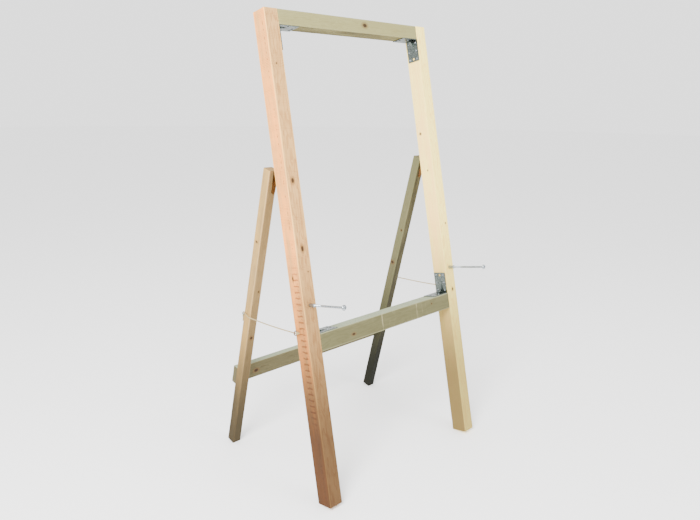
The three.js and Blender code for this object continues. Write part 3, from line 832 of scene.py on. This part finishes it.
def screw_mesh(head_radius, head_height, stub):
    """A pan head with a cross recess, on a short stub of shank."""
    shank = SHANK_SHARE * head_radius
    outline = [(0, -stub), (shank, -stub), (shank, SHANK_TOP * head_radius)]
    outline += [(UNDERSIDE_SHARE * head_radius, 0), (head_radius, RIM_LOW * head_height)]
    outline.append((head_radius, RIM_HIGH * head_height))
    for step in range(1, HEAD_RINGS):
        angle = step / HEAD_RINGS * math.pi / 2
        height = head_height * (RIM_HIGH + (1 - RIM_HIGH) * math.sin(angle))
        outline.append((head_radius * math.cos(angle), height))
    outline.append((0, head_height))

    def recess(radius, height, angle):
        x = abs(radius * math.cos(angle))
        y = abs(radius * math.sin(angle))
        in_arm = min(x, y) < CROSS_WIDTH * head_radius and max(x, y) < CROSS_REACH * head_radius
        if height > CROSS_ABOVE * head_height and in_arm:
            return radius, height - CROSS_DEPTH * head_height
        return radius, height

    mesh = lathe(outline, HEAD_SIDES, recess)
    crown = max(mesh.verts, key=lambda vertex: vertex.co.z)
    crown.co.z -= CROSS_DEPTH * head_height
    return mesh


HIDDEN_SHANK = 3 * MM
CLEARANCE = 0.3 * MM
BRACKET_HEAD = (4.2 * MM, 2.4 * MM)
HINGE_HEAD = (3.6 * MM, 1.3 * MM)
SCREW_SHARP = math.radians(35)


def add_screw(name, seat, outward, head, material, body, turn, node=None):
    """A screw head at its seat; one that stands for no CAD node takes the bright steel finish."""
    mesh = screw_mesh(head[0], head[1], HIDDEN_SHANK)
    bmesh.ops.rotate(mesh, verts=mesh.verts, matrix=Matrix.Rotation(turn, 3, "Z"))
    aimed(mesh, seat, outward)
    obj = finish_mesh(mesh, name, SCREW_SHARP)
    paint(obj, material)
    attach(obj, body)
    if node:
        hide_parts(node)


BRACKET_THICKNESS = 2.5 * MM
BRACKET_REACHES = (12 * MM, 46 * MM, 80 * MM)
BRACKET_SPREAD = 19 * MM
BRACKET_WIDTH = 60 * MM
BRACKET_SCREW_TURN = 1.1
TOP_RAIL_UNDERSIDE = STILE_LENGTH - TOP_RAIL_SECTION[0] * MM
LOWER_RAIL_TOP = 629 * MM
# Each upright leg holds three pairs of screws; the first four are CAD nodes, the last two are added here.
UPRIGHT_SCREWS = ((-1, 2), (1, 2), (-1, 0), (1, 0), (-1, 1), (1, 1))
UPRIGHT_NODES = 4
FLAT_SCREWS = ((-1, 1), (1, 2))


def bracket_screws(corner):
    """Each screw's name, its seat, the way its head faces and the CAD node that it stands for."""
    left = corner.endswith("left")
    top = corner.startswith("top")
    inward = 1 if left else -1
    up = -1 if top else 1
    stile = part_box("stile_left")[1].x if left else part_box("stile_right")[0].x
    start = 0 if top else (STILE_DEPTH - BRACKET_WIDTH) / 2
    middle = start + BRACKET_WIDTH / 2
    level = TOP_RAIL_UNDERSIDE if top else LOWER_RAIL_TOP
    face = 2 * CLEARANCE + BRACKET_THICKNESS
    found = []
    for index, (side, row) in enumerate(UPRIGHT_SCREWS, start=1):
        along = level + up * (CLEARANCE + BRACKET_REACHES[row])
        seat = on_stile(stile + inward * face, middle + side * BRACKET_SPREAD, along)
        node = f"bracket_screw_{corner}_{index}" if index <= UPRIGHT_NODES else None
        name = f"{node}_head" if node else f"bracket_screw_{corner}_middle_{index - UPRIGHT_NODES}"
        found.append((name, seat, Vector((inward, 0, 0)), node))
    for index, (side, row) in enumerate(FLAT_SCREWS, start=UPRIGHT_NODES + 1):
        x = stile + inward * (CLEARANCE + BRACKET_REACHES[row])
        seat = on_stile(x, middle + side * BRACKET_SPREAD, level + up * face)
        node = f"bracket_screw_{corner}_{index}"
        found.append((f"{node}_head", seat, UP_THE_STILE * up, node))
    return found


BEVEL_SEGMENTS = 2
BEVEL_ANGLE = math.radians(50)
BRACKET_BEVEL = 0.5 * MM
HINGE_BEVEL = 0.3 * MM


def soften(node, width):
    """Rounds a CAD node's sharp edges with a modifier, which leaves its mesh alone."""
    bevel = node.modifiers.new("soft_edges", "BEVEL")
    bevel.width = width
    bevel.segments = BEVEL_SEGMENTS
    bevel.limit_method = "ANGLE"
    bevel.angle_limit = BEVEL_ANGLE


def dress_brackets():
    """The CAD brackets keep their shape, and get soft edges, spangle and detailed screws."""
    for corner in CORNERS:
        node = frame["nodes"][f"bracket_{corner}"]
        soften(node, BRACKET_BEVEL)
        paint(node, GALVANISED)
        for index, (name, seat, outward, stands_for) in enumerate(bracket_screws(corner), start=1):
            turn = index * BRACKET_SCREW_TURN
            add_screw(name, seat, outward, BRACKET_HEAD, ZINC, FRONT, turn, stands_for)


HINGE_LEAF = 2 * MM
HINGE_REACHES = (28 * MM, 75 * MM)
PIN_ALONG_STILE = 1226 * MM
PIN_ALONG_LEG = LEG_LENGTH - 8 * MM


def dress_hinges():
    for side in SIDES:
        for part in ("stile_leaf", "leg_leaf", "pin"):
            node = frame["nodes"][f"hinge_{part}_{side}"]
            soften(node, HINGE_BEVEL)
            paint(node, BRASS)
        low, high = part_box(f"hinge_pin_{side}")
        x = (low.x + high.x) / 2
        stand = HINGE_LEAF + 2 * CLEARANCE
        for index, reach in enumerate(HINGE_REACHES, start=1):
            name = f"hinge_screw_stile_{side}_{index}"
            seat = on_stile(x, STILE_DEPTH + stand, PIN_ALONG_STILE - reach)
            add_screw(f"{name}_head", seat, BACK_OF_STILE, HINGE_HEAD, BRASS, FRONT, index, name)
            name = f"hinge_screw_leg_{side}_{index}"
            seat = on_leg(x, -stand, PIN_ALONG_LEG - reach)
            add_screw(f"{name}_head", seat, -BACK_OF_LEG, HINGE_HEAD, BRASS, REAR, index, name)


dress_brackets()
dress_hinges()


# ---- peg bolts and their long nuts ----

PEG_HEIGHT = 740 * MM
PEG_RADIUS = 4 * MM
PEG_REACH = 181 * MM
PEG_DEPTH = 52 * MM
PEG_HEAD_RADIUS = 10 * MM
PEG_HEAD_HEIGHT = 7 * MM
PEG_THREAD_END = 66 * MM
PEG_PITCH = 1.25 * MM
PEG_THREAD_DEPTH = 0.6 * MM
NUT_RADIUS = 7.4 * MM
NUT_LENGTH = 27 * MM
NUT_LEVELS = (0, 0.5 * MM, 1.4 * MM)
NUT_LIP = 0.8 * MM
NUT_COUNTERSINK = 0.6 * MM
NUT_END_SHARE = 0.97
NUT_END_SLOPE = 1.6
SOCKET_RADIUS = 3.4 * MM
SOCKET_DEPTH = 4 * MM
SOCKET_LIP = 0.3 * MM
SOCKET_FLARE = 1.12
SOCKET_TAPER = 0.98
SOCKET_CONE = 0.8 * MM
STEPS_PER_PITCH = 4
PLAIN_FROM = 3 * PEG_PITCH
HEAD_FILLET = 0.4 * MM
NECK_FILLET = 0.3 * MM
HEAD_RIM = 1.5 * MM
DOME_STEPS = 9
PEG_SIDES = 36
NUT_SIDES = 60
PEG_SHARP = math.radians(32)
NUT_SHARP = math.radians(28)


def peg_mesh():
    """From the buried end at the bottom to the domed head on top, threaded near the stile."""
    outline = [(0, -PEG_DEPTH)]
    steps = int((PEG_DEPTH + PEG_THREAD_END) / (PEG_PITCH / STEPS_PER_PITCH))
    for step in range(steps + 1):
        outline.append((PEG_RADIUS, -PEG_DEPTH + step * PEG_PITCH / STEPS_PER_PITCH))
    outline += [(PEG_RADIUS, PEG_THREAD_END + PLAIN_FROM), (PEG_RADIUS, PEG_REACH - HEAD_FILLET)]
    outline += [(PEG_RADIUS + NECK_FILLET, PEG_REACH), (PEG_HEAD_RADIUS - HEAD_FILLET, PEG_REACH)]
    outline += [(PEG_HEAD_RADIUS, PEG_REACH + HEAD_FILLET), (PEG_HEAD_RADIUS, PEG_REACH + HEAD_RIM)]
    sweep = math.acos(SOCKET_RADIUS / PEG_HEAD_RADIUS)
    for step in range(1, DOME_STEPS):
        angle = step / DOME_STEPS * sweep
        rise = math.sin(angle) / math.sin(sweep)
        height = PEG_REACH + HEAD_RIM + rise * (PEG_HEAD_HEIGHT - HEAD_RIM)
        outline.append((PEG_HEAD_RADIUS * math.cos(angle), height))
    top = PEG_REACH + PEG_HEAD_HEIGHT
    outline += [(SOCKET_RADIUS * SOCKET_FLARE, top), (SOCKET_RADIUS, top - SOCKET_LIP)]
    outline.append((SOCKET_RADIUS * SOCKET_TAPER, top - SOCKET_DEPTH))
    outline.append((0, top - SOCKET_DEPTH - SOCKET_CONE))

    def thread(radius, height, angle):
        in_socket = height > PEG_REACH and radius <= SOCKET_RADIUS
        if in_socket:
            return radius * hexagon(angle), height
        if radius == PEG_RADIUS and height <= PEG_THREAD_END:
            turn = (height / PEG_PITCH - angle / (2 * math.pi)) % 1
            return radius - PEG_THREAD_DEPTH * abs(2 * turn - 1), height
        return radius, height

    return lathe(outline, PEG_SIDES, thread)


def hexagon(angle):
    """The radius of a hexagon at an angle, as a share of its corner radius."""
    return math.cos(math.pi / 6) / math.cos((angle % (math.pi / 3)) - math.pi / 6)


def nut_mesh():
    """A long hexagonal nut, round at both ends where its corners are turned down."""
    flat = NUT_RADIUS * math.cos(math.pi / 6)
    bore = PEG_RADIUS + CLEARANCE
    lip = bore + NUT_LIP
    levels = [*NUT_LEVELS, NUT_LENGTH / 2]
    levels += [NUT_LENGTH - level for level in reversed(NUT_LEVELS)]
    outline = [(bore, NUT_COUNTERSINK), (lip, 0)]
    outline += [(NUT_RADIUS, level) for level in levels]
    outline += [(lip, NUT_LENGTH), (bore, NUT_LENGTH - NUT_COUNTERSINK), (bore, NUT_COUNTERSINK)]

    def turned_down(radius, height, angle):
        if radius < NUT_RADIUS:
            return radius, height
        edge = min(height, NUT_LENGTH - height)
        limit = flat * NUT_END_SHARE + edge * NUT_END_SLOPE
        return min(radius * hexagon(angle), limit), height

    return lathe(outline, NUT_SIDES, turned_down)


REAR_NODES = frame["record"]["behaviour"]["bodies"][REAR]


def stand_for(obj, node, material):
    """Gives a detailed piece its finish, and puts it in the place of its CAD node."""
    paint(obj, material)
    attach(obj, REAR if node in REAR_NODES else FRONT)
    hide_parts(node)


def dress_pegs():
    for side in SIDES:
        low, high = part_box(f"stile_{side}")
        x = (low.x + high.x) / 2
        mesh = peg_mesh()
        aimed(mesh, on_stile(x, 0, PEG_HEIGHT), -BACK_OF_STILE)
        bolt = finish_mesh(mesh, f"peg_bolt_{side}_detail", PEG_SHARP)
        stand_for(bolt, f"peg_bolt_{side}", ZINC)
        mesh = nut_mesh()
        aimed(mesh, on_stile(x, -CLEARANCE, PEG_HEIGHT), -BACK_OF_STILE)
        nut = finish_mesh(mesh, f"peg_nut_{side}_detail", NUT_SHARP)
        stand_for(nut, f"peg_nut_{side}", ZINC)


dress_pegs()


# ---- tubes: screw eyes, ropes and knots ----

def smooth_route(points, step):
    """A centripetal Catmull-Rom curve through the points, about one step between samples."""
    points = [Vector(point) for point in points]
    padded = [2 * points[0] - points[1], *points, 2 * points[-1] - points[-2]]
    line = [points[0]]
    for index in range(1, len(padded) - 2):
        four = padded[index - 1:index + 3]
        knots = [0.0]
        for first, second in zip(four, four[1:]):
            knots.append(knots[-1] + math.sqrt((second - first).length))
        count = max(1, round((four[2] - four[1]).length / step))
        for sample in range(1, count + 1):
            at = knots[1] + (knots[2] - knots[1]) * sample / count
            line.append(catmull_point(four, knots, at))
    return line


def catmull_point(four, knots, at):
    """Blends neighbouring points in pairs, then the pairs, until one point is left."""
    level = list(four)
    for width in (1, 2, 2):
        following = []
        for index in range(len(level) - 1):
            if len(level) == 2:
                low, high = knots[1], knots[2]
            else:
                low, high = knots[index], knots[index + width]
            share = (at - low) / (high - low)
            following.append(level[index].lerp(level[index + 1], share))
        level = following
    return level[0]


def tube(line, sides, radius_at, closed=False):
    """A tube along a line. radius_at takes the distance along and the angle, and gives the radius."""
    mesh = bmesh.new()
    count = len(line)
    tangents = []
    for index in range(count):
        if closed:
            before, after = line[index - 1], line[(index + 1) % count]
        else:
            before, after = line[max(index - 1, 0)], line[min(index + 1, count - 1)]
        tangents.append((after - before).normalized())
    across = tangents[0].orthogonal().normalized()
    along = 0.0
    rings = []
    for index, (point, tangent) in enumerate(zip(line, tangents)):
        if index:
            along += (point - line[index - 1]).length
            turn = tangents[index - 1].rotation_difference(tangent)
            across = (turn @ across).normalized()
        other = tangent.cross(across)
        ring = []
        for side in range(sides):
            angle = 2 * math.pi * side / sides
            spoke = math.cos(angle) * across + math.sin(angle) * other
            ring.append(mesh.verts.new(point + radius_at(along, angle) * spoke))
        rings.append(ring)
    pairs = list(zip(rings, rings[1:]))
    if closed:
        pairs.append((rings[-1], turned_to_match(rings[-1], rings[0])))
    for low, high in pairs:
        for side in range(sides):
            following = (side + 1) % sides
            mesh.faces.new((low[side], low[following], high[following], high[side]))
    if not closed:
        for ring, inward in ((rings[0], tangents[0]), (rings[-1], -tangents[-1])):
            cap_end(mesh, ring, inward)
    bmesh.ops.recalc_face_normals(mesh, faces=mesh.faces)
    return mesh


def turned_to_match(ring, start):
    """The start ring's vertices, counted from the one nearest to the other ring's first."""
    nearest = min(range(len(start)), key=lambda index: (start[index].co - ring[0].co).length)
    return start[nearest:] + start[:nearest]


# A cap's rings as shares of the tube's radius: how wide, and how far they stand out.
CAP_RINGS = ((0.8, 0.25), (0.45, 0.42))
CAP_CROWN = 0.48


def cap_end(mesh, ring, inward):
    """Closes a tube's end with a low dome."""
    centre = sum((vertex.co for vertex in ring), Vector()) / len(ring)
    radius = (ring[0].co - centre).length
    outer = ring
    for share, rise in CAP_RINGS:
        inner = []
        for vertex in ring:
            inner.append(mesh.verts.new(centre.lerp(vertex.co, share) - inward * radius * rise))
        for side in range(len(ring)):
            following = (side + 1) % len(ring)
            mesh.faces.new((outer[side], outer[following], inner[following], inner[side]))
        outer = inner
    crown = mesh.verts.new(centre - inward * radius * CAP_CROWN)
    for side in range(len(ring)):
        mesh.faces.new((outer[side], outer[(side + 1) % len(ring)], crown))


EYE_STEM = 3 * MM
EYE_SHANK = 20 * MM
STILE_EYE = (7.5 * MM, 1.75 * MM)
LEG_EYE = (6.5 * MM, 1.5 * MM)
STILE_EYE_DEEP = 51 * MM
STILE_EYE_ALONG = 644 * MM
LEG_EYE_ALONG = LEG_LENGTH - 620 * MM
LEG_EYE_INSET = 7 * MM
EYE_STEPS = 44
EYE_SIDES = 16
# Angles round the ring from the stem: where the wire leaves it, and the gap that it leaves open.
EYE_START = 0.3
EYE_GAP = 0.22
EYE_SHARP = math.radians(60)


def screw_eye(name, face, outward, ring_normal, size, material):
    """A bent wire: its shank goes into the timber and its ring nearly closes on the stem."""
    ring, wire = size
    side = Vector(outward).cross(Vector(ring_normal)).normalized()
    centre = face + outward * (EYE_STEM + wire + ring)
    line = [face - outward * EYE_SHANK, face - outward * MM, face + outward * EYE_STEM * 0.5]
    sweep = 2 * math.pi - EYE_START - EYE_GAP
    for step in range(EYE_STEPS + 1):
        angle = EYE_START + sweep * step / EYE_STEPS
        line.append(centre - ring * math.cos(angle) * outward + ring * math.sin(angle) * side)
    mesh = tube(line, EYE_SIDES, lambda along, angle: wire)
    stand_for(finish_mesh(mesh, f"{name}_detail", EYE_SHARP), name, material)


def dress_eyes():
    for side in SIDES:
        outward = Vector((-1, 0, 0)) if side == "left" else Vector((1, 0, 0))
        low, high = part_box(f"stile_{side}")
        x = low.x if side == "left" else high.x
        face = on_stile(x, STILE_EYE_DEEP, STILE_EYE_ALONG)
        screw_eye(f"stile_eye_{side}", face, outward, BACK_OF_STILE, STILE_EYE, BRASS)
        low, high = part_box(f"leg_{side}")
        x = low.x if side == "left" else high.x
        face = on_leg(x - outward.x * LEG_EYE_INSET, LEG_DEPTH, LEG_EYE_ALONG)
        screw_eye(f"leg_eye_{side}", face, BACK_OF_LEG, UP_THE_LEG, LEG_EYE, GALVANISED)


dress_eyes()


ROPE_DIAMETER = 4.5 * MM
ROPE_STRANDS = 3
ROPE_LAY = 16 * MM
ROPE_STEP = 1.0 * MM
ROPE_SIDES = 24
ROPE_CREST = 1.04
ROPE_GROOVE = 0.256
ROPE_SHARP = math.radians(70)
# In metres, each from the stub in front of the stile's eye to the tail below the leg's eye.
ROPE_ROUTES = {
    "left": (
        (-0.4428, -0.1478, 0.6384), (-0.4428, -0.1380, 0.6363), (-0.4428, -0.1285, 0.6333),
        (-0.4437, -0.0870, 0.6286), (-0.4447, -0.0455, 0.6245), (-0.4456, -0.0040, 0.6212),
        (-0.4466, 0.0375, 0.6184), (-0.4476, 0.0790, 0.6164), (-0.4485, 0.1205, 0.6149),
        (-0.4495, 0.1620, 0.6142), (-0.4495, 0.1790, 0.6205), (-0.4493, 0.1927, 0.6252),
        (-0.4471, 0.2005, 0.6260), (-0.4429, 0.2055, 0.6239), (-0.4393, 0.2086, 0.6196),
        (-0.4385, 0.2100, 0.6153), (-0.4385, 0.2123, 0.6056), (-0.4385, 0.2151, 0.5939),
        (-0.4385, 0.2179, 0.5823),
    ),
    "right": (
        (0.4428, -0.1478, 0.6384), (0.4428, -0.1380, 0.6363), (0.4428, -0.1285, 0.6333),
        (0.4401, -0.0870, 0.6286), (0.4375, -0.0455, 0.6245), (0.4349, -0.0040, 0.6212),
        (0.4323, 0.0375, 0.6184), (0.4297, 0.0790, 0.6164), (0.4271, 0.1205, 0.6149),
        (0.4245, 0.1620, 0.6142), (0.4245, 0.1790, 0.6205), (0.4243, 0.1927, 0.6252),
        (0.4221, 0.2005, 0.6260), (0.4179, 0.2055, 0.6239), (0.4143, 0.2086, 0.6196),
        (0.4135, 0.2100, 0.6153), (0.4135, 0.2123, 0.6056), (0.4135, 0.2151, 0.5939),
        (0.4135, 0.2179, 0.5823),
    ),
}
KNOT_SIZE = 1.55 * MM
KNOT_THICKNESS = 2.0 * MM
KNOT_STEPS = 90
KNOT_SIDES = 18
KNOT_LIFT = 1.45
KNOT_CREST = 1.03
KNOT_GROOVE = 0.14
# Each knot's place in a route and the body it rides on.
KNOTS = ((1, FRONT, "front"), (-3, REAR, "rear"))


def rope_material():
    """Cream laid cord: fine fibres, and dirt in scattered patches."""
    shader = Shader("rope")
    place = shader.node("ShaderNodeTexCoord").outputs["Object"]
    fibre = shader.noise(place, 2600, 3.0, 0.7)
    dirt = shader.smooth(shader.noise(place, 60, 4.0, 0.65), 0.4, 0.75)
    colour = shader.mix(shader.smooth(fibre, 0.3, 0.7), srgb(112, 92, 54), srgb(186, 164, 112))
    colour = shader.mix(shader.times(dirt, 0.4), colour, srgb(96, 80, 50))
    shader.set(Base_Color=colour, Roughness=0.85, Sheen_Weight=0.2)
    shader.bump(fibre, 0.5, 0.25 * MM)
    return shader.material


def hollow(along, angle):
    """0 on the crest of a strand and 1 in the groove between two, as the strands wind along."""
    turn = angle * ROPE_STRANDS - 2 * math.pi * along / ROPE_LAY * ROPE_STRANDS
    return 1 - abs(math.cos(turn / 2))


def strands(along, angle):
    """The radius of a laid rope."""
    return ROPE_DIAMETER / 2 * (ROPE_CREST - ROPE_GROOVE * hollow(along, angle))


def knot_strands(along, angle):
    """The radius of the same rope where it is drawn into a knot."""
    return KNOT_THICKNESS * (KNOT_CREST - KNOT_GROOVE * hollow(along, angle))


def knot_mesh(centre, direction):
    """An overhand stopper knot, drawn tight: a trefoil across the rope."""
    line = []
    for step in range(KNOT_STEPS):
        angle = 2 * math.pi * step / KNOT_STEPS
        x = math.sin(angle) + 2 * math.sin(2 * angle)
        y = math.cos(angle) - 2 * math.cos(2 * angle)
        z = -KNOT_LIFT * math.sin(3 * angle)
        line.append(Vector((x, y, z)) * KNOT_SIZE)
    mesh = tube(line, KNOT_SIDES, knot_strands, closed=True)
    aimed(mesh, centre, direction)
    return mesh


def dress_ropes():
    material = rope_material()
    for side in SIDES:
        route = [Vector(point) for point in ROPE_ROUTES[side]]
        line = smooth_route(route, ROPE_STEP)
        rope = finish_mesh(tube(line, ROPE_SIDES, strands), f"rope_{side}_laid", ROPE_SHARP)
        for index, body, end in KNOTS:
            direction = route[index + 1] - route[index - 1]
            name = f"rope_knot_{side}_{end}"
            knot = finish_mesh(knot_mesh(route[index], direction), name, ROPE_SHARP)
            paint(knot, material)
            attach(knot, body)
        paint(rope, material)
        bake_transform(rope)
        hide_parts(f"rope_{side}")


dress_ropes()


# ---- floor and light ----

FLOOR_RADIUS = 30
FLOOR_SIDES = 96
FLOOR_SHARP = math.radians(30)
WORLD_STRENGTH = 2.1
LIGHT_TARGET = (0, 0, 0.9)
# Each light's name, place, size and power in watts.
LIGHTS = (
    ("key", (-3.2, -1.6, 3.4), 2.2, 480),
    ("fill", (1.2, -4.2, 2.6), 2.5, 110),
)


def make_floor():
    mesh = bmesh.new()
    bmesh.ops.create_circle(mesh, cap_ends=True, radius=FLOOR_RADIUS, segments=FLOOR_SIDES)
    floor = finish_mesh(mesh, "floor", FLOOR_SHARP)
    shader = Shader("floor")
    shader.set(Base_Color=srgb(250, 250, 250), Roughness=0.9)
    paint(floor, shader.material)


def area_light(name, place, size, power):
    """A round soft light that points at the easel's middle."""
    data = bpy.data.lights.new(name, "AREA")
    data.shape = "DISK"
    data.size = size
    data.energy = power
    light = bpy.data.objects.new(name, data)
    light.location = place
    aim = Vector(LIGHT_TARGET) - Vector(place)
    light.rotation_euler = aim.to_track_quat("-Z", "Y").to_euler()
    bpy.context.scene.collection.objects.link(light)


def make_light():
    world = bpy.data.worlds.new("studio")
    world.use_nodes = True
    backdrop = world.node_tree.nodes["Background"]
    backdrop.inputs["Color"].default_value = (1, 1, 1, 1)
    backdrop.inputs["Strength"].default_value = WORLD_STRENGTH
    bpy.context.scene.world = world
    for light in LIGHTS:
        area_light(*light)


make_floor()
make_light()
